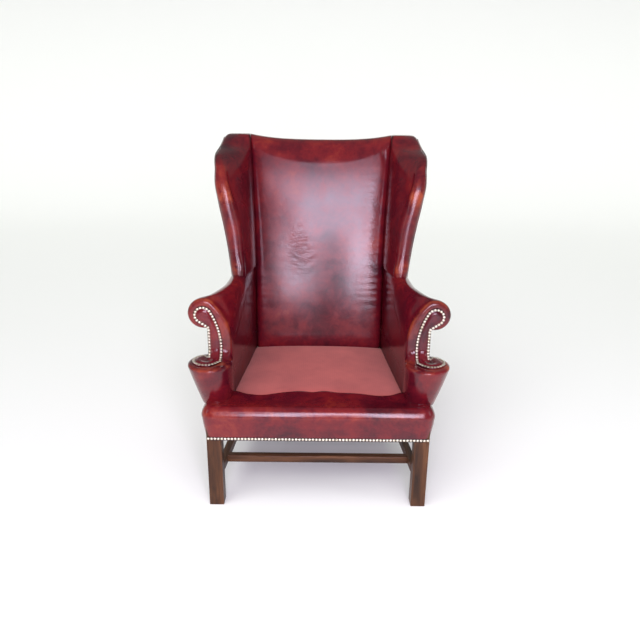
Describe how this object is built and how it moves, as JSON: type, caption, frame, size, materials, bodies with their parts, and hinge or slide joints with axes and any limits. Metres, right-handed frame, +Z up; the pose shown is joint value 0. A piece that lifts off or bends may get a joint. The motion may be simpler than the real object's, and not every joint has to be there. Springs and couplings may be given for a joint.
{
  "type": "wing armchair",
  "caption": "Wing armchair with C-scroll arms in oxblood leather, brass nailed edges, bare red cloth seat deck, square dark wood legs and stretchers",
  "frame": {"origin": "On the floor, under the middle of the chair's bounding box.", "axes": "Z up; X to the viewer's right when facing the seat, which is the sitter's left; Y from the front of the seat to the back."},
  "size_m": [0.8464, 0.7738, 1.154],
  "materials": {
    "mahogany": "satin",
    "beech": "matte",
    "oxblood_leather": "gloss",
    "stuffing": "matte",
    "jute": "matte",
    "red_cloth": "matte",
    "black_cloth": "matte",
    "spring_steel": "satin",
    "brass": "satin"
  },
  "bodies": {
    "root": {"front_leg_left": "mahogany", "front_leg_right": "mahogany", "rear_leg_left": "mahogany", "rear_leg_right": "mahogany", "side_stretcher_left": "mahogany", "side_stretcher_right": "mahogany", "cross_stretcher": "mahogany", "rear_stretcher": "mahogany", "front_seat_rail": "beech", "rear_seat_rail": "beech", "side_seat_rail_left": "beech", "side_seat_rail_right": "beech", "corner_blocks": "beech", "crest_rail": "beech", "lower_back_rail": "beech", "back_post_left": "beech", "back_post_right": "beech", "arm_post_left": "beech", "arm_post_right": "beech", "arm_rail_left": "beech", "arm_rail_right": "beech", "wing_post_left": "beech", "wing_post_right": "beech", "wing_rail_left": "beech", "wing_rail_right": "beech", "cone_block_left": "beech", "cone_block_right": "beech", "arm_cover_left": "oxblood_leather", "arm_cover_right": "oxblood_leather", "cone_cover_left": "oxblood_leather", "cone_cover_right": "oxblood_leather", "wing_cover_left": "oxblood_leather", "wing_cover_right": "oxblood_leather", "outside_cover_left": "oxblood_leather", "outside_cover_right": "oxblood_leather", "arm_facing_left": "oxblood_leather", "arm_facing_right": "oxblood_leather", "front_band_cover": "oxblood_leather", "inside_back_cover": "oxblood_leather", "outside_back_cover": "oxblood_leather", "arm_pad_left": "stuffing", "arm_pad_right": "stuffing", "wing_pad_left": "stuffing", "wing_pad_right": "stuffing", "back_pad": "stuffing", "deck_pad": "stuffing", "front_roll": "stuffing", "seat_webbing": "jute", "back_webbing": "jute", "spring_canvas": "jute", "deck_cloth": "red_cloth", "dust_cover": "black_cloth", "seat_springs": "spring_steel", "front_nails": "brass", "side_nails_left": "brass", "side_nails_right": "brass", "facing_nails_left": "brass", "facing_nails_right": "brass"}
  },
  "joints": []
}
